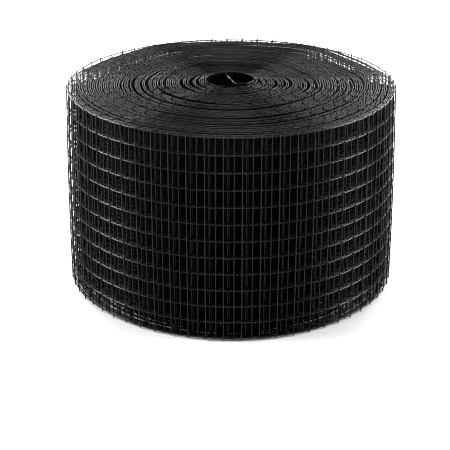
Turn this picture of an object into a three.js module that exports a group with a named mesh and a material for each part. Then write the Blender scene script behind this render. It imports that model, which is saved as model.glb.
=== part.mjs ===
// Roll of black coated welded wire mesh, wound on itself and standing on its end.
// Units are millimetres and +Z is up. The origin is under the middle of the roll, where it stands.
// Seen from above, the strip winds outwards counter-clockwise from the hooked end in its centre hole.

import * as THREE from 'three';

// The mesh: half-inch cells, twelve of them across a six-inch strip.
const CELL = 12.7;
const CELL_ROWS = 12;
const WIRE_STUB = 1.4;
const STRIP_WIDTH = CELL_ROWS * CELL + 2 * WIRE_STUB;

// The roll: its outside, the thickness of one turn, and the cross wires round the outermost turn.
const OUTER_RADIUS = 125.5;
const TURN_THICKNESS = 1.85;
const LAST_TURN_RADIUS = OUTER_RADIUS - TURN_THICKNESS;
const COLUMNS = Math.round((2 * Math.PI * OUTER_RADIUS) / CELL);

// Where the strip's two ends lie, as angles counter-clockwise from +X.
const INNER_END_ANGLE = THREE.MathUtils.degToRad(20);
const LAST_COLUMN = 9 * COLUMNS + 17;
const OUTER_END_TURN = LAST_COLUMN / COLUMNS;

// Cells on the outer wall are sunk between ridges that stand for the wires.
const CELL_SINK = 3.4;
const RIDGE_HALF_WIDTH = 1.1;

// Every edge of the top end is eased by this much where no gap runs.
const EDGE_EASE = 0.5;

// The innermost turns are pushed back and up a little: how far the hole lies behind the middle of the roll,
// and how far the turns round it stand above the others.
const HOLE_BACK = 3.4;
const CORE_RISE = 2.2;

// Groups of turns, from the centre hole outwards. Each row is a line between two groups, counted in turns of
// the drawn spiral: its radius, how far the turns beside it rise above the strip's width, the gap's width and
// depth, and how far its centre lies behind the middle of the roll.
const GROUPS = [
  { turn: 0, radius: 18.0, rise: CORE_RISE, gap: 0.8, depth: EDGE_EASE, back: HOLE_BACK },
  { turn: 1, radius: 20.2, rise: CORE_RISE, gap: 0.8, depth: EDGE_EASE, back: 3.3 },
  { turn: 1.5, radius: 24.0, rise: 1.5, gap: 2.4, depth: 3.2, back: 3.1 },
  { turn: 2, radius: 29.0, rise: 0.7, gap: 3.0, depth: 3.4, back: 2.8 },
  { turn: 3, radius: 40.5, rise: 0.1, gap: 2.8, depth: 3.4, back: 2.1 },
  { turn: 4, radius: 53.0, rise: 0.1, gap: 2.6, depth: 3.4, back: 1.4 },
  { turn: 5, radius: 65.5, rise: -0.3, gap: 2.4, depth: 3.4, back: 0.7 },
  { turn: 6, radius: 79.0, rise: -0.2, gap: 2.0, depth: 3.2, back: 0.2 },
  { turn: 7, radius: 93.5, rise: -0.6, gap: 2.2, depth: 3.4, back: 0 },
  { turn: 8, radius: 109.0, rise: -0.2, gap: 1.8, depth: 3.2, back: 0 },
  { turn: 9, radius: 120.0, rise: -0.3, gap: 1.4, depth: 3.2, back: 0 },
  { turn: OUTER_END_TURN, radius: LAST_TURN_RADIUS, rise: 0, gap: 0.8, depth: EDGE_EASE, back: 0 },
  { turn: OUTER_END_TURN + 1, radius: OUTER_RADIUS, rise: 0, gap: 0.8, depth: EDGE_EASE, back: 0 },
];

// The roll is a little out of round: waves round its outside, and the angle of each one's first crest.
const WAVES = [
  { crests: 2, size: 0.5, turned: THREE.MathUtils.degToRad(10) },
  { crests: 3, size: 0.6, turned: THREE.MathUtils.degToRad(285) },
];

// The free inner end, seen from above and measured from the hole's middle: it leaves the innermost turn,
// follows the hole's right and front side, then hooks across the hole towards the back.
const HOOK = [
  { x: 18.25, y: 6.1 },
  { x: 18.5, y: 2.9 },
  { x: 17.8, y: -1.6 },
  { x: 15.6, y: -6.4 },
  { x: 11.8, y: -10.2 },
  { x: 8.2, y: -11.6 },
  { x: 4.9, y: -10.9 },
  { x: 2.7, y: -8.2 },
  { x: 0.9, y: -3.6 },
  { x: -0.8, y: 2.2 },
  { x: -3.0, y: 10.7 },
];
const HOOK_THICKNESS = 1.2;
const HOOK_STRAND = 1.2;
const HOOK_CELL_STEPS = 3;
const HOOK_TIP = 1.0;

const BLACK_COATING = { color: 0x141415, roughness: 0.42, metalness: 0.0 };

// A closed skin that is put together from points and flat faces.
class Skin {
  constructor() {
    this.points = [];
    this.faces = [];
  }

  point(x, y, z) {
    this.points.push(x, y, z);
    return this.points.length / 3 - 1;
  }

  // Corners run counter-clockwise as seen from outside.
  face(...corners) {
    for (let i = 1; i < corners.length - 1; i += 1) {
      this.faces.push(corners[0], corners[i], corners[i + 1]);
    }
  }

  geometry() {
    const made = new THREE.BufferGeometry();
    made.setAttribute('position', new THREE.Float32BufferAttribute(this.points, 3));
    made.setIndex(this.faces);
    made.computeVertexNormals();
    return made;
  }
}

function piece(name, skin) {
  const mesh = new THREE.Mesh(skin.geometry(), new THREE.MeshStandardMaterial(BLACK_COATING));
  mesh.name = name;
  return mesh;
}

// The value of one column of GROUPS at any turn.
function groupValue(name, turn) {
  const next = GROUPS.findIndex((row) => row.turn >= turn - 1e-9);
  const high = GROUPS[Math.max(next, 1)];
  const low = GROUPS[Math.max(next, 1) - 1];
  const share = (turn - low.turn) / (high.turn - low.turn);
  return THREE.MathUtils.lerp(low[name], high[name], THREE.MathUtils.clamp(share, 0, 1));
}

function outOfRound(angle, radius) {
  const waves = WAVES.map((wave) => wave.size * Math.cos(wave.crests * (angle - wave.turned)));
  return (radius / OUTER_RADIUS) * waves.reduce((sum, height) => sum + height, 0);
}

// A point of the spiral. Its column counts cross wires from the inner end, and inwards is towards the axis.
function onSpiral(skin, column, inwards, height) {
  const angle = INNER_END_ANGLE + (column / COLUMNS) * 2 * Math.PI;
  const radius = groupValue('radius', column / COLUMNS) - inwards;
  const reach = radius + outOfRound(angle, radius);
  const back = groupValue('back', column / COLUMNS);
  return skin.point(reach * Math.cos(angle), reach * Math.sin(angle) + back, height);
}

function edgeWireHeight(row) {
  return WIRE_STUB + row * CELL;
}

function landHeight(column) {
  return STRIP_WIDTH + groupValue('rise', column / COLUMNS);
}

// The line between two groups of turns, on the top end: rim, gap and rim again.
function gapHeight(column) {
  const inside = landHeight(Math.max(column - COLUMNS, 0));
  const outside = landHeight(Math.min(column, LAST_COLUMN));
  return Math.min(inside, outside) - groupValue('depth', column / COLUMNS);
}

// The top end: one long land that winds outwards between the gaps.
function topEnd(skin) {
  const gapLine = [];
  const landInner = [];
  const landOuter = [];
  for (let column = 0; column <= LAST_COLUMN + COLUMNS; column += 1) {
    gapLine.push(onSpiral(skin, column, 0, gapHeight(column)));
  }
  for (let column = 0; column <= LAST_COLUMN; column += 1) {
    const innerGap = groupValue('gap', column / COLUMNS) / 2;
    const outerGap = groupValue('gap', column / COLUMNS + 1) / 2;
    landInner.push(onSpiral(skin, column, -innerGap, landHeight(column)));
    landOuter.push(onSpiral(skin, column + COLUMNS, outerGap, landHeight(column)));
  }
  for (let column = 0; column < LAST_COLUMN; column += 1) {
    const rows = [gapLine, landInner, landOuter];
    rows.forEach((row, place) => {
      const outer = place < 2 ? rows[place + 1] : gapLine;
      const shift = place < 2 ? 0 : COLUMNS;
      skin.face(row[column], outer[column + shift], outer[column + 1 + shift], row[column + 1]);
    });
  }
  return { gapLine, landInner, landOuter };
}

// The hole's wall, and the end of the first turn where the free inner end leaves it.
function holeWall(skin, top) {
  const foot = [];
  for (let column = 0; column <= COLUMNS; column += 1) {
    foot.push(onSpiral(skin, column, 0, 0));
  }
  for (let column = 0; column < COLUMNS; column += 1) {
    skin.face(foot[column + 1], foot[column], top.gapLine[column], top.gapLine[column + 1]);
  }
  const rim = [top.gapLine[COLUMNS], top.landOuter[0], top.landInner[0], top.gapLine[0]];
  skin.face(foot[0], foot[COLUMNS], ...rim);
  return foot;
}

// The outer wall: a ridge along every wire, and each cell between them sunk.
function outerWall(skin, top) {
  const levels = [0];
  for (let row = 0; row <= CELL_ROWS; row += 1) {
    levels.push(edgeWireHeight(row));
  }
  const lines = levels.map((height) => {
    const line = [];
    for (let column = 0; column <= COLUMNS; column += 1) {
      line.push(onSpiral(skin, LAST_COLUMN + column, 0, height));
    }
    return line;
  });
  lines.push(top.gapLine.slice(LAST_COLUMN));

  const inset = RIDGE_HALF_WIDTH / CELL;
  for (let level = 0; level < lines.length - 1; level += 1) {
    const sunk = level > 0 && level <= CELL_ROWS;
    for (let column = 0; column < COLUMNS; column += 1) {
      const low = lines[level];
      const high = lines[level + 1];
      const corners = [low[column], low[column + 1], high[column + 1], high[column]];
      if (sunk) {
        sunkCell(skin, corners, LAST_COLUMN + column, inset, levels[level]);
      } else {
        skin.face(...corners);
      }
    }
  }
  outerEnd(skin, lines, top);
  return lines[0];
}

function sunkCell(skin, corners, column, inset, level) {
  const low = level + RIDGE_HALF_WIDTH;
  const high = level + CELL - RIDGE_HALF_WIDTH;
  const floor = [
    onSpiral(skin, column + inset, CELL_SINK, low),
    onSpiral(skin, column + 1 - inset, CELL_SINK, low),
    onSpiral(skin, column + 1 - inset, CELL_SINK, high),
    onSpiral(skin, column + inset, CELL_SINK, high),
  ];
  skin.face(...floor);
  corners.forEach((corner, i) => {
    const next = (i + 1) % corners.length;
    skin.face(corner, corners[next], floor[next], floor[i]);
  });
}

// The strip's outer end: a step as thick as one turn, from top to bottom of the outer wall.
function outerEnd(skin, lines, top) {
  for (let level = 0; level < lines.length - 1; level += 1) {
    const low = lines[level];
    const high = lines[level + 1];
    skin.face(low[COLUMNS], low[0], high[0], high[COLUMNS]);
  }
  const rim = lines[lines.length - 1];
  skin.face(rim[COLUMNS], rim[0], top.landInner[LAST_COLUMN], top.landOuter[LAST_COLUMN]);
}

// The flat bottom end, from the hole's foot to the outer wall's foot. Both feet have a step in them.
function bottomEnd(skin, holeFoot, wallFoot) {
  const wallStep = LAST_COLUMN % COLUMNS;
  for (let column = 0; column < COLUMNS; column += 1) {
    const place = (column - wallStep + COLUMNS) % COLUMNS;
    const wallEdge = [wallFoot[place + 1], wallFoot[place]];
    const holeEdge = [holeFoot[column], holeFoot[column + 1]];
    if (column === 0) {
      holeEdge.unshift(holeFoot[COLUMNS]);
    }
    if (place === COLUMNS - 1) {
      skin.face(wallEdge[1], ...holeEdge, wallFoot[0], wallEdge[0]);
    } else {
      skin.face(...wallEdge, ...holeEdge);
    }
  }
}

function woundRoll() {
  const skin = new Skin();
  const top = topEnd(skin);
  const holeFoot = holeWall(skin, top);
  const wallFoot = outerWall(skin, top);
  bottomEnd(skin, holeFoot, wallFoot);
  return piece('wound_roll', skin);
}

// Places along the free inner end: each cross wire's two edges, and steps across each cell between them.
function hookPlaces(length) {
  const places = [];
  const cells = Math.floor((length - HOOK_TIP - HOOK_STRAND) / CELL);
  const first = length - HOOK_TIP - HOOK_STRAND - cells * CELL;
  places.push({ at: 0, solid: false });
  for (let cell = 0; cell <= cells; cell += 1) {
    const start = first + cell * CELL;
    places.push({ at: start, solid: true });
    places.push({ at: start + HOOK_STRAND, solid: false });
    for (let step = 1; step < HOOK_CELL_STEPS && cell < cells; step += 1) {
      const open = ((CELL - HOOK_STRAND) * step) / HOOK_CELL_STEPS;
      places.push({ at: start + HOOK_STRAND + open, solid: false });
    }
  }
  places.push({ at: length, solid: false });
  return places;
}

// Heights on the free inner end: each line wire's two edges, and the cells between them.
function hookLevels() {
  const levels = [{ at: CORE_RISE, solid: false }];
  for (let row = 0; row <= CELL_ROWS; row += 1) {
    levels.push({ at: CORE_RISE + edgeWireHeight(row) - HOOK_STRAND / 2, solid: true });
    levels.push({ at: CORE_RISE + edgeWireHeight(row) + HOOK_STRAND / 2, solid: false });
  }
  levels.push({ at: CORE_RISE + STRIP_WIDTH, solid: false });
  return levels;
}

function innerEnd() {
  const skin = new Skin();
  const route = new THREE.CatmullRomCurve3(HOOK.map((row) => new THREE.Vector3(row.x, row.y + HOLE_BACK, 0)));
  const length = route.getLength();
  const places = hookPlaces(length);
  const levels = hookLevels();

  const sides = [-0.5, 0.5].map((side) => places.map((place) => {
    const middle = route.getPointAt(place.at / length);
    const along = route.getTangentAt(place.at / length);
    const across = new THREE.Vector3(-along.y, along.x, 0).multiplyScalar(side * HOOK_THICKNESS);
    const spot = middle.add(across);
    return levels.map((level) => skin.point(spot.x, spot.y, level.at));
  }));

  const isSolid = (i, k) => {
    const inside = i >= 0 && k >= 0 && i < places.length - 1 && k < levels.length - 1;
    return inside && (places[i].solid || levels[k].solid);
  };
  for (let i = 0; i < places.length - 1; i += 1) {
    for (let k = 0; k < levels.length - 1; k += 1) {
      if (isSolid(i, k)) {
        strandBlock(skin, sides, i, k, isSolid);
      }
    }
  }
  return piece('inner_end', skin);
}

// One block of a strand: its two broad faces, and an edge face wherever its neighbour is open.
function strandBlock(skin, [right, left], i, k, isSolid) {
  skin.face(right[i][k], right[i + 1][k], right[i + 1][k + 1], right[i][k + 1]);
  skin.face(left[i + 1][k], left[i][k], left[i][k + 1], left[i + 1][k + 1]);
  if (!isSolid(i - 1, k)) {
    skin.face(right[i][k], right[i][k + 1], left[i][k + 1], left[i][k]);
  }
  if (!isSolid(i + 1, k)) {
    skin.face(right[i + 1][k + 1], right[i + 1][k], left[i + 1][k], left[i + 1][k + 1]);
  }
  if (!isSolid(i, k - 1)) {
    skin.face(right[i + 1][k], right[i][k], left[i][k], left[i + 1][k]);
  }
  if (!isSolid(i, k + 1)) {
    skin.face(right[i][k + 1], right[i + 1][k + 1], left[i + 1][k + 1], left[i][k + 1]);
  }
}

const guardRoll = new THREE.Group();
guardRoll.add(woundRoll(), innerEnd());

export default guardRoll;
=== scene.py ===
"""A roll of black coated welded wire mesh, standing on its end on a white studio floor.

The strip of mesh is one long route, seen from above, that starts at the roll's outer end and winds inwards
to the free end in the centre hole. Geometry Nodes weld the line wires and cross wires along that route.
Every size is in metres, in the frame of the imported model.
"""

import math
from collections import namedtuple

import bpy
import numpy as np
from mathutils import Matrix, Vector


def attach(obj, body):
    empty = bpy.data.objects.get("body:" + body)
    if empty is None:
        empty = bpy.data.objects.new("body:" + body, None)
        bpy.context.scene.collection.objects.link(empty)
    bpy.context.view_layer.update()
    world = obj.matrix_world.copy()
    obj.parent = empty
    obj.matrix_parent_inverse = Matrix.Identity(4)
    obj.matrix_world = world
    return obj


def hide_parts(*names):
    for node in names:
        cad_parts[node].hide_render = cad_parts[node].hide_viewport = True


bl_info = {
    "name": "Wire Mesh Roll",
    "version": (1, 0, 0),
    "blender": (4, 5, 0),
    "location": "3D View > Sidebar > Mesh Roll",
    "description": "Winds a strip of coated welded wire mesh into a standing roll",
    "category": "Add Mesh",
}

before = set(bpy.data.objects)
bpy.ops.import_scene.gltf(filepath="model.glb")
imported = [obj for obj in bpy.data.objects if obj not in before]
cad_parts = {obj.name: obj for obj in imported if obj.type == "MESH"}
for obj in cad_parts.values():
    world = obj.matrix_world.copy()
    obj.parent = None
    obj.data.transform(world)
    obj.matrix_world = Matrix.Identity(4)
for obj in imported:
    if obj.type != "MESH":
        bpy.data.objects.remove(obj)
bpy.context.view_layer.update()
BODY = "root"

# The first cross wire stands this far from the strip's outer end.
END_STUB = 0.002

# The strip's free end in the hole, seen from above and measured from the hole's middle.
HookPoint = namedtuple("HookPoint", "x y")
HOOK = (
    HookPoint(0.01825, 0.0061),
    HookPoint(0.0185, 0.0029),
    HookPoint(0.0178, -0.0016),
    HookPoint(0.0156, -0.0064),
    HookPoint(0.0118, -0.0102),
    HookPoint(0.0082, -0.0116),
    HookPoint(0.0049, -0.0109),
    HookPoint(0.0027, -0.0082),
    HookPoint(0.0009, -0.0036),
    HookPoint(-0.0008, 0.0022),
    HookPoint(-0.0030, 0.0107),
)
HOOK_PIECES = 12

# The free end's looks: it stands clear of the turns round it, so its wires are rounder, and their gloss,
# painted shade that dulls them less than the turns round it, is higher. They cover at least this share of its
# flat area.
END_LENGTHS = 6
END_SIDES = 8
END_LINE_GLOSS_PAINTED_SHADE = 0.6
END_CROSS_GLOSS_PAINTED_SHADE = 0.3
NET_COVER = 0.3

# Loose places between turns: where each one's middle lies, how far it runs to both sides along the turn, and
# how much wider it is than the usual step between turns, give or take its liveliness. Azimuths are degrees
# counter-clockwise from +X.
Gap = namedtuple("Gap", "radius azimuth half_span width")
GAPS = (
    Gap(0.0300, 170, 100, 0.0018),
    Gap(0.0320, 300, 60, 0.0016),
    Gap(0.0355, 235, 60, 0.0014),
    Gap(0.0470, 70, 50, 0.0020),
    Gap(0.0505, 140, 30, 0.0018),
    Gap(0.0510, 315, 40, 0.0014),
    Gap(0.0555, 232, 45, 0.0026),
    Gap(0.0610, 180, 40, 0.0012),
    Gap(0.0645, 55, 65, 0.0024),
    Gap(0.0665, 272, 90, 0.0024),
    Gap(0.0720, 180, 35, 0.0014),
    Gap(0.0775, 175, 30, 0.0012),
    Gap(0.0845, 255, 75, 0.0018),
    Gap(0.0910, 12, 22, 0.0014),
    Gap(0.0953, 292, 55, 0.0024),
    Gap(0.0970, 12, 22, 0.0014),
    Gap(0.1000, 300, 32, 0.0012),
    Gap(0.1040, 28, 14, 0.0026),
    Gap(0.1120, 310, 24, 0.0012),
    Gap(0.1200, 32, 20, 0.0022),
    Gap(0.1222, 88, 28, 0.0026),
    Gap(0.1232, 28, 21, 0.0034),
    Gap(0.1232, 147, 22, 0.0034),
)
GAP_LIVELINESS = 0.25

# How far the turns of one part of the roll stand above the lowest turns, by the radius that they lie at, and
# how far behind the middle of the roll those turns are centred.
Rise = namedtuple("Rise", "radius height back")
RISES = (
    Rise(0.0180, 0.0022, 0.0034),
    Rise(0.0205, 0.0021, 0.0033),
    Rise(0.0240, 0.0014, 0.0031),
    Rise(0.0290, 0.0007, 0.0028),
    Rise(0.0405, 0.0005, 0.0021),
    Rise(0.0530, 0.0006, 0.0014),
    Rise(0.0655, 0.0003, 0.0007),
    Rise(0.0790, 0.0005, 0.0002),
    Rise(0.0935, 0.0002, 0.0),
    Rise(0.1090, 0.0005, 0.0),
    Rise(0.1190, 0.0003, 0.0),
    Rise(0.1225, 0.0006, 0.0),
    Rise(0.1245, 0.0002, 0.0),
)

# The roll is a little out of round, as its solid is.
Wave = namedtuple("Wave", "crests size turned")
WAVES = (
    Wave(2, 0.0005, 10),
    Wave(3, 0.0006, 285),
)

# Stretches of the roll that are made as one piece each: the turns that they cover, counted inwards from the
# outer end, how many straight lengths bend a cell, the sides of their line wires and cross wires, the lowest
# line wire with beads, the gloss of their line wires and cross wires, which is painted shade that dulls the
# inner turns where little light reaches, and how many pieces a cross wire bends in.
Stretch = namedtuple(
    "Stretch",
    "name start end lengths line_sides cross_sides first_bead line_gloss cross_gloss cross_pieces",
)
STRETCHES = (
    Stretch("outermost_turn", 0, 1, 1, 8, 8, 0, 0.9, 1.0, 12),
    Stretch("second_turn", 1, 2, 1, 8, 8, 0, 0.35, 0.9, 12),
    Stretch("third_turn", 2, 3, 1, 8, 8, 0, 0.18, 0.7, 12),
    Stretch("turns_under_the_outside", 3, 14, 1, 6, 6, 12, 0.06, 0.25, 6),
    Stretch("middle_turns", 14, 26, 1, 6, 6, 12, 0.02, 0.04, 1),
    Stretch("turns_round_the_core", 26, 38, 2, 6, 6, 12, 0.02, 0.02, 1),
    Stretch("core_turns", 38, None, 3, 5, 6, 12, 0.02, 0.02, 1),
)

# A turn is wound in this many steps. The bends of a line wire keep this part of a length clear of its ends.
TURN_STEPS = 360
CLEAR_OF_ENDS = 0.01

# Waves a turn of the strip's unevenness and of its slack. The largest waves are the slow ones, and none is
# drawn smaller than the least.
WANDER_WAVES = (0.13, 0.31, 0.74, 1.27, 2.6, 5.3)
SLACK_WAVES = (0.41, 0.67, 1.37, 1.58, 2.43, 3.31)
LEAST_WAVE = 0.5
SLOW_WAVE = 0.6

# The slack between turns wanders about this level, keeps this least share and gathers this sharply.
SLACK_LEVEL = 0.3
LEAST_SLACK = 0.04
SLACK_SHARPNESS = 1.6

# Turns inwards from the outside, and the share of its slack that each of them keeps: at the back, where light
# would show through wide gaps, and in front.
BACK_FADE_TURNS = (0, 6, 11)
BACK_FADE_SHARES = (0.02, 0.08, 1.0)
FRONT_FADE_TURNS = (0, 2, 5)
FRONT_FADE_SHARES = (0.05, 0.6, 1.0)

# A painted highlight, more gloss along the top edge where the top light falls, starts at these heights on
# line wires, and as a painted glint at the tips on cross wires, and is full a little higher.
LINE_WIRE_PAINTED_HIGHLIGHT = 0.1515
CROSS_WIRE_PAINTED_GLINT = 0.1548
PAINTED_HIGHLIGHT_BLEND = 0.001

# The coating: how fine its bands, flecks and skin are, which part of the flecks shows, which slopes face up
# and are painted paler as top light, how much flecks and bands rub and roughen it, the bands paling only
# upward slopes, partly as rub and partly as painted top light, how deep its skin is, and how it shines.
BAND_SCALE = 55.0
FLECK_SCALE = 420.0
SKIN_SCALE = 1400.0
NOISE_ROUGHNESS = 0.55
FLECKS_SHOWN = (0.56, 0.72)
PAINTED_TOP_LIGHT_SLOPES = (0.35, 1.0)
FLECKS_RUBBED = 0.5
BANDS_RUBBED_AND_PAINTED_TOP_LIGHT = 0.6
BANDS_ROUGHER = 0.2
FLECKS_ROUGHER = 0.12
SKIN_SMOOTHER = 0.1
SKIN_STRENGTH = 0.25
SKIN_DEPTH = 0.00006
COATING_IOR = 1.52
SKIN_SHINE = 0.06

# Sockets that share their name with others of their node, by their number.
MIX_FIRST, MIX_SECOND, MIX_RESULT = 6, 7, 2
TRIM_START, TRIM_END = 4, 5
RANDOM_LEAST, RANDOM_MOST, RANDOM_VALUE = 2, 3, 1

# The inputs of the node tree that welds the strip.
STRIP_INPUTS = (
    ("Route", "NodeSocketGeometry", None),
    ("Line Wires", "NodeSocketInt", 13),
    ("First Bead", "NodeSocketInt", 0),
    ("Beads", "NodeSocketInt", 13),
    ("Cell", "NodeSocketFloat", 0.0127),
    ("Stub", "NodeSocketFloat", 0.0014),
    ("First Cross Wire", "NodeSocketFloat", END_STUB),
    ("Wire Radius", "NodeSocketFloat", 0.00042),
    ("Cross Wire Offset", "NodeSocketFloat", 0.00072),
    ("Bead Radius", "NodeSocketFloat", 0.00053),
    ("Line Wire Sides", "NodeSocketInt", 6),
    ("Cross Wire Sides", "NodeSocketInt", 6),
    ("Cross Wire Pieces", "NodeSocketInt", 1),
    ("Height", "NodeSocketFloat", 0.1552),
    ("Bulge", "NodeSocketFloat", 0.0008),
    ("Flare", "NodeSocketFloat", 0.003),
    ("Bulge From", "NodeSocketFloat", 0.105),
    ("Bulge To", "NodeSocketFloat", 0.122),
    ("Height Wander", "NodeSocketFloat", 0.0003),
    ("Seed", "NodeSocketInt", 3),
    ("Line Wire Coating", "NodeSocketMaterial", None),
    ("Cross Wire Coating", "NodeSocketMaterial", None),
)
BEAD_SEGMENTS = 6
BEAD_RINGS = 4
PAST_EVERY_END = 1000.0

# Light panels of the studio: where each one hangs, facing the roll, its width and height, and its brightness.
# The right side panel glows this much of what the left one does.
Panel = namedtuple("Panel", "name place width height glow")
RIGHT_SHARE = 0.8
ROLL_MIDDLE = (0.0, 0.0, 0.08)
FLOOR_RADIUS = 6.0
FLOOR_SIDES = 96
FLOOR_ROUGHNESS = 0.8
SENSOR_WIDTH = 36.0

# Pixels that one sample is spread over, so few that thin wires stay crisp.
NARROW_FILTER = 1.0


def length(name, description, default):
    """A setting in metres."""
    return bpy.props.FloatProperty(name=name, description=description, default=default, unit="LENGTH")


def angle(name, description, degrees):
    """A setting in degrees."""
    return bpy.props.FloatProperty(
        name=name, description=description, default=math.radians(degrees), unit="ROTATION"
    )


def factor(name, description, default):
    """A setting from nought to one."""
    return bpy.props.FloatProperty(name=name, description=description, default=default, subtype="FACTOR")


def number(name, description, default):
    """A setting without a unit."""
    return bpy.props.FloatProperty(name=name, description=description, default=default)


def whole_number(name, description, default):
    """A setting that counts something."""
    return bpy.props.IntProperty(name=name, description=description, default=default)


def colour(name, description, default):
    """A colour setting."""
    return bpy.props.FloatVectorProperty(name=name, description=description, default=default, subtype="COLOR")


def position(name, description, default):
    """A setting that is a place in the scene."""
    return bpy.props.FloatVectorProperty(
        name=name, description=description, default=default, subtype="TRANSLATION"
    )


class MeshStripSettings(bpy.types.PropertyGroup):
    """The welded mesh as it is sold, flat."""

    cell: length("Cell", "Middle to middle of two wires", 0.0127)
    cell_rows: whole_number("Rows of Cells", "Cells across the strip", 12)
    wire: length("Wire", "Diameter over the coating", 0.00084)
    stub: length("Stub", "Cross wire past the edge wires", 0.0014)
    weld_sink: length("Weld Sink", "How deep welded wires sit in each other", 0.00012)
    bead: length("Weld Bead", "Radius of the coating at a weld", 0.00053)


class RollSettings(bpy.types.PropertyGroup):
    """How the strip is wound."""

    hole: length("Hole Radius", "Free radius of the centre hole", 0.018)
    reach: length("Outside Radius", "Reach of the outermost wires", 0.1255)
    turns: whole_number("Whole Turns", "Whole turns of the strip", 57)
    inner_azimuth: angle("Inner End", "Where the innermost turn ends", 20)
    outer_azimuth: angle("Outer End", "Where the outermost turn ends", 121.7)
    unevenness: length("Unevenness", "How far a turn wanders up and down", 0.0004)
    nesting: length("Nesting", "How deep tight turns sit in each other", 0.00024)
    bulge: length("Bulge", "How far the outside bellies out half way up", 0.0008)
    flare: length("Flare", "How far the foot reaches out to both sides", 0.003)
    seed: whole_number("Seed", "Seed of the unevenness", 7)


class CoatingSettings(bpy.types.PropertyGroup):
    """The plastic coating."""

    dark: colour("Coating", "Colour of the clean coating", (0.0012, 0.0012, 0.0013))
    # Paler colour of rub flecks, and of upward faces partly as rub and partly as painted top light.
    rubbed_and_painted_top_light: colour("Rubbed Coating", "Colour where it is rubbed or dusty", (0.008, 0.008, 0.0084))
    roughness: factor("Roughness", "Roughness under the gloss", 0.5)
    gloss_roughness: factor("Gloss Roughness", "Roughness of the gloss", 0.25)
    # Painted highlight: more gloss along the top edge, where the top light falls.
    painted_edge_highlight: factor("Edge Gloss", "Gloss along the top edge", 0.2)


class StudioSettings(bpy.types.PropertyGroup):
    """Camera, lights and floor."""

    lens: number("Lens", "Focal length in millimetres", 98.3)
    camera: position("Camera", "Where the camera stands", (-0.00175, -0.8968, 0.4344))
    aim: position("Aim", "What the camera looks at", (-0.0045, 0.0, 0.0365))
    surround: number("Surround", "Light from the room", 0.03)
    side_glow: number("Side Panels", "Brightness of the side panels", 20.0)
    back_glow: number("Back Panels", "Brightness of the back panels", 19.0)
    top_glow: number("Top Panel", "Brightness of the top panel", 8.5)
    floor: colour("Floor", "Colour of the floor", (0.9, 0.9, 0.9))
    bounce: colour("Bounce", "What the floor throws back onto the roll", (0.4, 0.4, 0.4))


class Value:
    """A number that varies over a surface. Sums, differences, products and quotients add Math nodes."""

    def __init__(self, nodes, socket):
        self.nodes = nodes
        self.socket = socket

    def maths(self, operation, first, second):
        node = self.nodes.add("ShaderNodeMath", {"operation": operation}, {0: first, 1: second})
        return Value(self.nodes, node.outputs[0])

    def __add__(self, other):
        return self.maths("ADD", self, other)

    def __radd__(self, other):
        return self.maths("ADD", other, self)

    def __sub__(self, other):
        return self.maths("SUBTRACT", self, other)

    def __rsub__(self, other):
        return self.maths("SUBTRACT", other, self)

    def __mul__(self, other):
        return self.maths("MULTIPLY", self, other)

    def __rmul__(self, other):
        return self.maths("MULTIPLY", other, self)

    def __truediv__(self, other):
        return self.maths("DIVIDE", self, other)

    def sine(self):
        return self.maths("SINE", self, 0.0)

    def at_least(self, other):
        return self.maths("MAXIMUM", self, other)


class Nodes:
    """Adds nodes to one tree: first a node's settings, then the values or links of its sockets."""

    def __init__(self, tree):
        self.tree = tree

    def add(self, kind, settings=None, sockets=None):
        node = self.tree.nodes.new(kind)
        for name, value in (settings or {}).items():
            setattr(node, name, value)
        for key, value in (sockets or {}).items():
            self.fill(node.inputs[key], value)
        return node

    def fill(self, socket, value):
        if isinstance(value, Value):
            value = value.socket
        if isinstance(value, bpy.types.NodeSocket):
            self.tree.links.new(value, socket)
        else:
            socket.default_value = value


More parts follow.
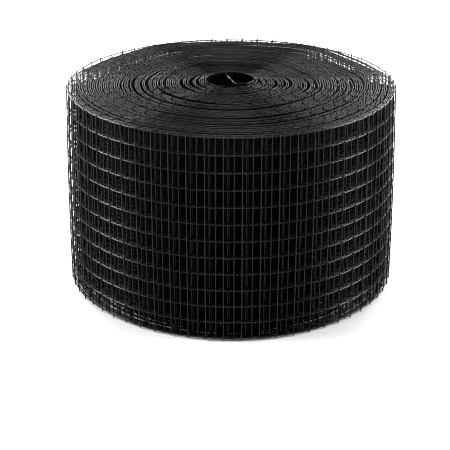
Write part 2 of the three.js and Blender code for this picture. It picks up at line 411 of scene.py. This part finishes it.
def coated_wire(name, gloss, painted_highlight_from):
    """Black plastic coating: a fine uneven skin, paler rub marks and painted top light on upward faces, gloss
    that painted shade lowers on inner turns, and a painted highlight of more gloss along the top edge.
    """
    coating = bpy.context.scene.mesh_roll_coating
    material = bpy.data.materials.new(name)
    material.use_nodes = True
    nodes = Nodes(material.node_tree)
    shader = material.node_tree.nodes["Principled BSDF"]
    place = nodes.add("ShaderNodeTexCoord").outputs["Object"]

    def noise(scale, detail):
        node = nodes.add("ShaderNodeTexNoise", {"noise_dimensions": "3D"}, {
            "Vector": place, "Scale": scale, "Detail": detail, "Roughness": NOISE_ROUGHNESS,
        })
        return Value(nodes, node.outputs[0])

    def smooth(value, low, high):
        node = nodes.add("ShaderNodeMapRange", {"interpolation_type": "SMOOTHSTEP"}, {
            "Value": value, "From Min": low, "From Max": high,
        })
        return Value(nodes, node.outputs[0])

    def upright_part(vector):
        return Value(nodes, nodes.add("ShaderNodeSeparateXYZ", None, {0: vector}).outputs["Z"])

    bands = noise(BAND_SCALE, 3.0)
    skin = noise(SKIN_SCALE, 2.0)
    flecks = smooth(noise(FLECK_SCALE, 3.0), *FLECKS_SHOWN)
    # Paler on upward faces: partly rub and dust, partly painted top light.
    painted_top_light = smooth(upright_part(nodes.add("ShaderNodeNewGeometry").outputs["Normal"]), *PAINTED_TOP_LIGHT_SLOPES)
    rubbed_and_painted_top_light = flecks * FLECKS_RUBBED + painted_top_light * bands * BANDS_RUBBED_AND_PAINTED_TOP_LIGHT
    tint = nodes.add("ShaderNodeMix", {"data_type": "RGBA"}, {
        "Factor": rubbed_and_painted_top_light,
        MIX_FIRST: (*coating.dark, 1.0),
        MIX_SECOND: (*coating.rubbed_and_painted_top_light, 1.0),
    })
    nodes.fill(shader.inputs["Base Color"], tint.outputs[MIX_RESULT])
    roughness = coating.roughness + bands * BANDS_ROUGHER + flecks * FLECKS_ROUGHER - SKIN_SMOOTHER
    nodes.fill(shader.inputs["Roughness"], roughness)

    # Painted highlight along the top edge, and a painted glint at cross wire tips.
    edge = smooth(upright_part(place), painted_highlight_from, painted_highlight_from + PAINTED_HIGHLIGHT_BLEND) * coating.painted_edge_highlight
    # Coat weight: each stretch's gloss is painted shade, low on inner turns.
    nodes.fill(shader.inputs["Coat Weight"], edge.at_least(gloss))
    shader.inputs["Coat Roughness"].default_value = coating.gloss_roughness
    shader.inputs["Coat IOR"].default_value = COATING_IOR
    shader.inputs["IOR"].default_value = COATING_IOR
    shader.inputs["Specular IOR Level"].default_value = SKIN_SHINE
    bump = nodes.add("ShaderNodeBump", None, {
        "Strength": SKIN_STRENGTH, "Distance": SKIN_DEPTH, "Height": skin,
    })
    nodes.fill(shader.inputs["Normal"], bump.outputs[0])
    return material


def by_radius(column, radius):
    """The value of one column of RISES at each radius."""
    return np.interp(radius, [row.radius for row in RISES], [getattr(row, column) for row in RISES])


def wander(steps, seed, size, waves=WANDER_WAVES):
    """A smooth seeded wandering about nought, one value for each step along the strip."""
    draws = np.random.RandomState(seed)
    turn = steps / TURN_STEPS
    total = np.zeros(len(steps))
    for waves_a_turn in waves:
        size_here = draws.uniform(LEAST_WAVE, 1.0) / (SLOW_WAVE + waves_a_turn) ** 0.5
        total += size_here * np.sin(2 * math.pi * (waves_a_turn * turn + draws.uniform()))
    return size * total / np.abs(total).max()


def listed_gaps(roll, azimuth, first, last, ends):
    """How much the listed gaps widen each step between turns, along the strip from its inner end."""
    steps = np.arange(len(azimuth))
    mean_step = (last - first) / ends
    widths = np.zeros(len(azimuth))
    liveliness = 1 + wander(steps, roll.seed + 1, GAP_LIVELINESS)
    for gap in GAPS:
        middle = math.radians(gap.azimuth)
        turn = round((gap.radius - first) / mean_step - ((middle - roll.inner_azimuth) / (2 * math.pi)) % 1)
        start = (middle - roll.inner_azimuth) % (2 * math.pi) + 2 * math.pi * turn
        away = np.abs(azimuth - roll.inner_azimuth - start)
        share = np.clip(away / math.radians(gap.half_span), 0, 1)
        widths += gap.width * 0.5 * (1 + np.cos(math.pi * share ** 2)) * liveliness
    return widths


def slack_shares(roll, azimuth):
    """How the rest of the room between turns is shared out, along the strip from its inner end."""
    steps = np.arange(len(azimuth))
    wandering = wander(steps, roll.seed + 2, 1.0, SLACK_WAVES)
    shares = np.clip(wandering + SLACK_LEVEL, LEAST_SLACK, None) ** SLACK_SHARPNESS
    inwards = (len(azimuth) - steps) / TURN_STEPS
    behind = np.clip(0.5 + np.sin(azimuth), 0, 1)
    back_fade = behind * np.interp(inwards, BACK_FADE_TURNS, BACK_FADE_SHARES)
    front_fade = (1 - behind) * np.interp(inwards, FRONT_FADE_TURNS, FRONT_FADE_SHARES)
    return shares * (back_fade + front_fade)


def wound_strip():
    """The middle of the strip's line wires along the wound turns, from the inner end outwards."""
    strip = bpy.context.scene.mesh_roll_strip
    roll = bpy.context.scene.mesh_roll_winding
    ends = roll.turns + (roll.outer_azimuth - roll.inner_azimuth) / (2 * math.pi)
    steps = np.arange(round(ends * TURN_STEPS) + 1)
    azimuth = roll.inner_azimuth + 2 * math.pi * steps / TURN_STEPS
    first = roll.hole + strip.wire / 2
    last = roll.reach - strip.wire * 1.5 + strip.weld_sink
    listed = listed_gaps(roll, azimuth, first, last, ends)
    slack = slack_shares(roll, azimuth)
    thickness = 2 * strip.wire - strip.weld_sink - roll.nesting

    radius = first + (last - first) * steps / len(steps)
    for place in range(TURN_STEPS):
        outwards = np.arange(place, len(steps), TURN_STEPS)[1:]
        whole = radius[outwards[-1]] - radius[place]
        left = whole - len(outwards) * thickness - listed[outwards].sum()
        widths = thickness + listed[outwards] + left * slack[outwards] / slack[outwards].sum()
        radius[outwards] = radius[place] + np.cumsum(widths)

    share = radius / roll.reach
    for wave in WAVES:
        radius = radius + share * wave.size * np.cos(wave.crests * (azimuth - math.radians(wave.turned)))
    rise = by_radius("height", radius) + np.abs(wander(steps, roll.seed, roll.unevenness))
    return np.column_stack((
        radius * np.cos(azimuth),
        radius * np.sin(azimuth) + by_radius("back", radius),
        rise,
    ))


def smooth_through(points, pieces_between):
    """A smooth line through every point, bending most evenly between them."""
    ends = np.vstack((2 * points[0] - points[1], points, 2 * points[-1] - points[-2]))
    line = []
    for before, start, end, after in zip(ends, ends[1:], ends[2:], ends[3:]):
        for t in np.arange(pieces_between) / pieces_between:
            line.append(0.5 * (
                2 * start + (end - before) * t
                + (2 * before - 5 * start + 4 * end - after) * t ** 2
                + (3 * start - before - 3 * end + after) * t ** 3
            ))
    line.append(points[-1])
    return np.array(line)


def hooked_end(rise):
    """The free inner end, from the innermost turn to the strip's tip."""
    points = np.array([(row.x, row.y + RISES[0].back, rise) for row in HOOK])
    return smooth_through(points, HOOK_PIECES)


def along(points):
    """The distance from the first point to every point of a route, seen from above."""
    steps = np.hypot(*np.diff(points[:, :2], axis=0).T)
    return np.concatenate(([0], np.cumsum(steps)))


def resampled(points, distances):
    """The points of a route at the given distances along it."""
    way = along(points)
    return np.column_stack([np.interp(distances, way, points[:, axis]) for axis in range(3)])


class StripNodes(Nodes):
    """The nodes that weld line wires and cross wires along a route and put a bead on the welds."""

    def __init__(self, tree):
        super().__init__(tree)
        self.given = self.add("NodeGroupInput").outputs

    def out(self, kind, settings=None, sockets=None):
        return self.add(kind, settings, sockets).outputs[0]

    def value(self, name):
        return Value(self, self.given[name])

    def vector(self, operation, sockets):
        return self.out("ShaderNodeVectorMath", {"operation": operation}, sockets)

    def upright(self, height):
        return self.out("ShaderNodeCombineXYZ", None, {2: height})

    def column(self, count, first, step):
        return self.out("GeometryNodeMeshLine", {"mode": "OFFSET"}, {
            "Count": count, "Start Location": self.upright(first), "Offset": self.upright(step),
        })

    def on_points(self, points, instance, rotation=None):
        sockets = {"Points": points, "Instance": instance}
        if rotation is not None:
            sockets["Rotation"] = rotation
        return self.out("GeometryNodeInstanceOnPoints", None, sockets)

    def realized(self, instances):
        return self.out("GeometryNodeRealizeInstances", None, {0: instances})

    def joined(self, *parts):
        node = self.add("GeometryNodeJoinGeometry")
        for part in reversed(parts):
            self.tree.links.new(part, node.inputs[0])
        return node.outputs[0]

    def coated(self, mesh, coating):
        return self.out("GeometryNodeSetMaterial", None, {0: mesh, "Material": self.given[coating]})

    def round_wire(self, line, sides):
        section = self.out("GeometryNodeCurvePrimitiveCircle", {"mode": "RADIUS"}, {
            "Resolution": sides, "Radius": self.given["Wire Radius"],
        })
        return self.out("GeometryNodeCurveToMesh", None, {
            "Curve": line, "Profile Curve": section, "Fill Caps": True,
        })

    def line_wires(self, route):
        """The wires that run along the route, one above another."""
        rows = self.column(self.given["Line Wires"], self.given["Stub"], self.given["Cell"])
        route_instance = self.out("GeometryNodeGeometryToInstance", None, {0: route})
        lines = self.realized(self.on_points(rows, route_instance))
        return self.round_wire(lines, self.given["Line Wire Sides"])

    def welds(self, route):
        """Where the cross wires stand, just outside the route, and how each one is turned."""
        trimmed = self.out("GeometryNodeTrimCurve", {"mode": "LENGTH"}, {
            "Curve": route, TRIM_START: self.given["First Cross Wire"], TRIM_END: PAST_EVERY_END,
        })
        places = self.add("GeometryNodeCurveToPoints", {"mode": "LENGTH"}, {
            "Curve": trimmed, "Length": self.given["Cell"],
        })
        outwards = self.vector("NORMALIZE", {
            0: self.vector("CROSS_PRODUCT", {0: (0.0, 0.0, 1.0), 1: places.outputs["Tangent"]}),
        })
        aside = self.vector("SCALE", {0: outwards, "Scale": self.given["Cross Wire Offset"]})
        lift = self.add("FunctionNodeRandomValue", {"data_type": "FLOAT"}, {
            RANDOM_LEAST: self.value("Height Wander") * -0.5,
            RANDOM_MOST: self.value("Height Wander") * 0.5,
            "Seed": self.given["Seed"],
        }).outputs[RANDOM_VALUE]
        stood = self.out("GeometryNodeSetPosition", None, {
            "Geometry": places.outputs["Points"],
            "Offset": self.vector("ADD", {0: aside, 1: self.upright(lift)}),
        })
        turned = self.out("FunctionNodeAlignRotationToVector", {"axis": "Y", "pivot_axis": "Z"}, {
            "Vector": outwards,
        })
        return stood, turned

    def cross_wire(self):
        """One upright wire with the beads of its welds."""
        top = (self.value("Line Wires") - 1.0) * self.value("Cell") + self.value("Stub") * 2.0
        line = self.out("GeometryNodeCurvePrimitiveLine", {"mode": "POINTS"}, {
            "Start": (0.0, 0.0, 0.0), "End": self.upright(top),
        })
        line = self.out("GeometryNodeResampleCurve", {"mode": "COUNT"}, {
            "Curve": line, "Count": self.value("Cross Wire Pieces") + 1.0,
        })
        bead = self.out("GeometryNodeMeshUVSphere", None, {
            "Segments": BEAD_SEGMENTS, "Rings": BEAD_RINGS, "Radius": self.given["Bead Radius"],
        })
        inwards = self.out("ShaderNodeCombineXYZ", None, {1: self.value("Cross Wire Offset") * -0.5})
        seated = self.out("GeometryNodeTransform", None, {0: bead, "Translation": inwards})
        first_bead = self.value("Stub") + self.value("First Bead") * self.value("Cell")
        beads = self.on_points(self.column(self.given["Beads"], first_bead, self.given["Cell"]), seated)
        return self.joined(self.round_wire(line, self.given["Cross Wire Sides"]), beads)

    def bellied(self, parts):
        """The parts with the outside of the roll bulging half way up and reaching out to both sides below."""
        at = self.add("ShaderNodeSeparateXYZ", None, {0: self.out("GeometryNodeInputPosition")}).outputs
        flat = self.out("ShaderNodeCombineXYZ", None, {0: at[0], 1: at[1]})
        length_node = self.add("ShaderNodeVectorMath", {"operation": "LENGTH"}, {0: flat})
        reach = Value(self, length_node.outputs["Value"])
        outside = Value(self, self.out("ShaderNodeMapRange", {"interpolation_type": "SMOOTHSTEP"}, {
            "Value": reach, "From Min": self.given["Bulge From"], "From Max": self.given["Bulge To"],
        }))
        height = Value(self, at[2]) / self.value("Height")
        sideways = Value(self, at[0]) / reach
        bow = (height * math.pi).sine() * self.value("Bulge")
        flare = (1.0 - height) * (sideways * sideways) * self.value("Flare")
        outwards_by = (bow + flare) * outside / reach
        return self.out("GeometryNodeSetPosition", None, {
            "Geometry": parts, "Offset": self.vector("SCALE", {0: flat, "Scale": outwards_by}),
        })


def strip_tree():
    """The node tree that welds the strip, made once."""
    found = bpy.data.node_groups.get("welded_strip")
    if found:
        return found
    tree = bpy.data.node_groups.new("welded_strip", "GeometryNodeTree")
    tree.is_modifier = True
    for name, kind, value in STRIP_INPUTS:
        socket = tree.interface.new_socket(name=name, in_out="INPUT", socket_type=kind)
        if value is not None:
            socket.default_value = value
    tree.interface.new_socket(name="Mesh", in_out="OUTPUT", socket_type="NodeSocketGeometry")

    nodes = StripNodes(tree)
    route = nodes.out("GeometryNodeMeshToCurve", None, {"Mesh": nodes.given["Route"]})
    places, turned = nodes.welds(route)
    crossings = nodes.realized(nodes.on_points(places, nodes.cross_wire(), turned))
    parts = nodes.joined(
        nodes.coated(nodes.line_wires(route), "Line Wire Coating"),
        nodes.coated(crossings, "Cross Wire Coating"),
    )
    smooth = nodes.out("GeometryNodeSetShadeSmooth", None, {0: nodes.bellied(parts)})
    nodes.add("NodeGroupOutput", None, {0: smooth})
    return tree


def welded_piece(name, route, line_gloss, cross_gloss, **sizes):
    """One stretch of the strip as a plain mesh, welded along a route."""
    strip = bpy.context.scene.mesh_roll_strip
    roll = bpy.context.scene.mesh_roll_winding
    mesh = bpy.data.meshes.new(name)
    mesh.from_pydata([tuple(point) for point in route], [(i, i + 1) for i in range(len(route) - 1)], [])
    piece = bpy.data.objects.new(name, mesh)
    bpy.context.collection.objects.link(piece)
    values = {
        "Line Wires": strip.cell_rows + 1,
        "Beads": strip.cell_rows + 1,
        "Cell": strip.cell,
        "Stub": strip.stub,
        "Wire Radius": strip.wire / 2,
        "Cross Wire Offset": strip.wire - strip.weld_sink,
        "Bead Radius": strip.bead,
        "Height": strip.cell_rows * strip.cell + 2 * strip.stub,
        "Bulge": roll.bulge,
        "Flare": roll.flare,
        # Coatings whose gloss is painted shade on inner turns, with a painted highlight along the top edge.
        "Line Wire Coating": coated_wire(f"{name}_line_wires", line_gloss, LINE_WIRE_PAINTED_HIGHLIGHT),
        "Cross Wire Coating": coated_wire(f"{name}_cross_wires", cross_gloss, CROSS_WIRE_PAINTED_GLINT),
        **{key.replace("_", " ").title(): value for key, value in sizes.items()},
    }
    tree = strip_tree()
    modifier = piece.modifiers.new("welded_strip", "NODES")
    modifier.node_group = tree
    for socket in tree.interface.items_tree:
        if socket.in_out == "INPUT" and socket.name in values:
            modifier[socket.identifier] = values[socket.name]
    graph = bpy.context.evaluated_depsgraph_get()
    made = bpy.data.meshes.new_from_object(piece.evaluated_get(graph), depsgraph=graph)
    piece.modifiers.clear()
    piece.data = made
    made.name = name
    return piece


def whole_route():
    """The strip's whole route from its outer end to its tip, the length that is wound, and the wound part."""
    wound = wound_strip()[::-1]
    hook = hooked_end(wound[-1][2])
    return np.vstack((wound, hook[1:])), along(wound)[-1], wound


def spots_on(start, end, lengths, cell, first):
    """Distances where the line wires bend between two cross wires' middles, the ends included."""
    step = cell / lengths
    low = math.ceil((start - first) / step + CLEAR_OF_ENDS)
    high = math.floor((end - first) / step - CLEAR_OF_ENDS)
    middle = first + step * np.arange(low, high + 1)
    return np.concatenate(([start], middle, [end]))


def stretch_limits(wound, strip):
    """Where each stretch starts and ends along the route: half a cell past a cross wire."""
    way = along(wound)
    limits = []
    for row in STRETCHES:
        limits.append(way[min(row.start * TURN_STEPS, len(way) - 1)])
    limits.append(way[-1])
    half = strip.cell / 2
    snapped = [0.0]
    for limit in limits[1:-1]:
        cells = round((limit - END_STUB - half) / strip.cell)
        snapped.append(END_STUB + half + cells * strip.cell)
    snapped.append(limits[-1])
    return snapped


class MESHROLL_OT_wound_turns(bpy.types.Operator):
    """Winds the strip's turns, in stretches from the outside to the core"""

    bl_idname = "mesh_roll.wound_turns"
    bl_label = "Wound Turns"

    def execute(self, context):
        strip = context.scene.mesh_roll_strip
        route, _, wound = whole_route()
        limits = stretch_limits(wound, strip)
        for row, start, end in zip(STRETCHES, limits, limits[1:]):
            spots = spots_on(start, end, row.lengths, strip.cell, END_STUB)
            first_cross = END_STUB if start == 0 else strip.cell / 2
            piece = welded_piece(
                row.name,
                resampled(route, spots),
                row.line_gloss,
                row.cross_gloss,
                first_cross_wire=first_cross,
                line_wire_sides=row.line_sides,
                cross_wire_sides=row.cross_sides,
                first_bead=row.first_bead,
                beads=strip.cell_rows + 1 - row.first_bead,
                cross_wire_pieces=row.cross_pieces,
            )
            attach(piece, BODY)
            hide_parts("wound_roll")
        return {"FINISHED"}


class MESHROLL_OT_free_end(bpy.types.Operator):
    """Hooks the strip's free inner end into the centre hole"""

    bl_idname = "mesh_roll.free_end"
    bl_label = "Free Inner End"

    def execute(self, context):
        strip = context.scene.mesh_roll_strip
        route, wound_length, _ = whole_route()
        whole_length = along(route)[-1]
        cells_before = math.ceil((wound_length - END_STUB) / strip.cell)
        first_cross = END_STUB + cells_before * strip.cell - wound_length
        spots = spots_on(wound_length, whole_length, END_LENGTHS, strip.cell, END_STUB)
        piece = welded_piece(
            "free_inner_end",
            resampled(route, spots),
            END_LINE_GLOSS_PAINTED_SHADE,
            END_CROSS_GLOSS_PAINTED_SHADE,
            first_cross_wire=first_cross,
            line_wire_sides=END_SIDES,
            cross_wire_sides=END_SIDES,
        )
        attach(piece, BODY)
        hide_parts("inner_end")
        width = strip.cell_rows * strip.cell + 2 * strip.stub
        flat = (width, whole_length - wound_length)
        NET_COVER * flat[0] * flat[1]
        return {"FINISHED"}


class MESHROLL_OT_stage(bpy.types.Operator):
    """Sets up the white floor, the lights and the camera"""

    bl_idname = "mesh_roll.stage"
    bl_label = "Studio"

    def execute(self, context):
        studio = context.scene.mesh_roll_studio
        self.floor(studio)
        self.surround(context, studio)
        panels = (
            Panel("left_panel", (-1.6, 0.0, 0.6), 0.9, 1.1, studio.side_glow),
            Panel("right_panel", (1.6, 0.0, 0.6), 0.9, 1.1, studio.side_glow * RIGHT_SHARE),
            Panel("back_left_panel", (-0.8, 1.9, 0.95), 1.0, 0.6, studio.back_glow),
            Panel("back_right_panel", (0.8, 1.9, 0.95), 1.0, 0.6, studio.back_glow),
            Panel("top_panel", (0.0, -0.1, 1.7), 0.7, 0.7, studio.top_glow),
        )
        for row in panels:
            lamp = bpy.data.lights.new(row.name, "AREA")
            lamp.shape = "RECTANGLE"
            lamp.size = row.width
            lamp.size_y = row.height
            lamp.energy = math.pi * row.width * row.height * row.glow
            lamp_object = bpy.data.objects.new(row.name, lamp)
            self.point(lamp_object, row.place, ROLL_MIDDLE)
            context.collection.objects.link(lamp_object)
        self.camera(context, studio)
        return {"FINISHED"}

    def point(self, thing, place, aim):
        thing.location = place
        thing.rotation_euler = (Vector(aim) - Vector(place)).to_track_quat("-Z", "Y").to_euler()

    def floor(self, studio):
        mesh = bpy.data.meshes.new("floor")
        corners = 2 * math.pi * np.arange(FLOOR_SIDES) / FLOOR_SIDES
        rim = [(FLOOR_RADIUS * math.cos(corner), FLOOR_RADIUS * math.sin(corner), 0.0) for corner in corners]
        mesh.from_pydata(rim, [], [tuple(range(FLOOR_SIDES))])
        floor = bpy.data.objects.new("floor", mesh)
        material = bpy.data.materials.new("white_floor")
        material.use_nodes = True
        nodes = Nodes(material.node_tree)
        shader = material.node_tree.nodes["Principled BSDF"]
        shader.inputs["Base Color"].default_value = (*studio.floor, 1.0)
        shader.inputs["Roughness"].default_value = FLOOR_ROUGHNESS
        dim = nodes.add("ShaderNodeBsdfDiffuse", None, {"Color": (*studio.bounce, 1.0)}).outputs[0]
        seen = nodes.add("ShaderNodeLightPath").outputs["Is Camera Ray"]
        mixed = nodes.add("ShaderNodeMixShader", None, {0: seen, 1: dim, 2: shader.outputs[0]}).outputs[0]
        nodes.fill(material.node_tree.nodes["Material Output"].inputs["Surface"], mixed)
        mesh.materials.append(material)
        bpy.context.collection.objects.link(floor)

    def surround(self, context, studio):
        world = bpy.data.worlds.new("white_room")
        world.use_nodes = True
        nodes = Nodes(world.node_tree)
        seen = nodes.add("ShaderNodeLightPath").outputs["Is Camera Ray"]
        strength = Value(nodes, seen) * (1 - studio.surround) + studio.surround
        background = world.node_tree.nodes["Background"]
        background.inputs["Color"].default_value = (1.0, 1.0, 1.0, 1.0)
        nodes.fill(background.inputs["Strength"], strength)
        context.scene.world = world

    def camera(self, context, studio):
        camera = bpy.data.cameras.new("camera")
        camera.lens = studio.lens
        camera.sensor_width = SENSOR_WIDTH
        camera_object = bpy.data.objects.new("camera", camera)
        self.point(camera_object, studio.camera, studio.aim)
        context.collection.objects.link(camera_object)
        context.scene.camera = camera_object
        context.scene.view_settings.view_transform = "Standard"
        context.scene.cycles.filter_width = NARROW_FILTER


class MESHROLL_PT_panel(bpy.types.Panel):
    """Lists the steps that make the roll"""

    bl_idname = "MESHROLL_PT_panel"
    bl_label = "Wire Mesh Roll"
    bl_space_type = "VIEW_3D"
    bl_region_type = "UI"
    bl_category = "Mesh Roll"

    def draw(self, context):
        for step in STEPS:
            self.layout.operator(step.bl_idname)
        for settings in ("mesh_roll_strip", "mesh_roll_winding", "mesh_roll_coating", "mesh_roll_studio"):
            group = getattr(context.scene, settings)
            box = self.layout.box()
            for name in group.__annotations__:
                box.prop(group, name)


STEPS = (MESHROLL_OT_wound_turns, MESHROLL_OT_free_end, MESHROLL_OT_stage)
SETTINGS = {
    "mesh_roll_strip": MeshStripSettings,
    "mesh_roll_winding": RollSettings,
    "mesh_roll_coating": CoatingSettings,
    "mesh_roll_studio": StudioSettings,
}


def register():
    for group in (*SETTINGS.values(), *STEPS, MESHROLL_PT_panel):
        bpy.utils.register_class(group)
    for name, group in SETTINGS.items():
        setattr(bpy.types.Scene, name, bpy.props.PointerProperty(type=group))


def unregister():
    for name in SETTINGS:
        delattr(bpy.types.Scene, name)
    for group in (MESHROLL_PT_panel, *reversed(STEPS), *reversed(SETTINGS.values())):
        bpy.utils.unregister_class(group)


def main():
    register()
    bpy.ops.mesh_roll.wound_turns()
    bpy.ops.mesh_roll.free_end()
    bpy.ops.mesh_roll.stage()


if __name__ == "__main__":
    main()
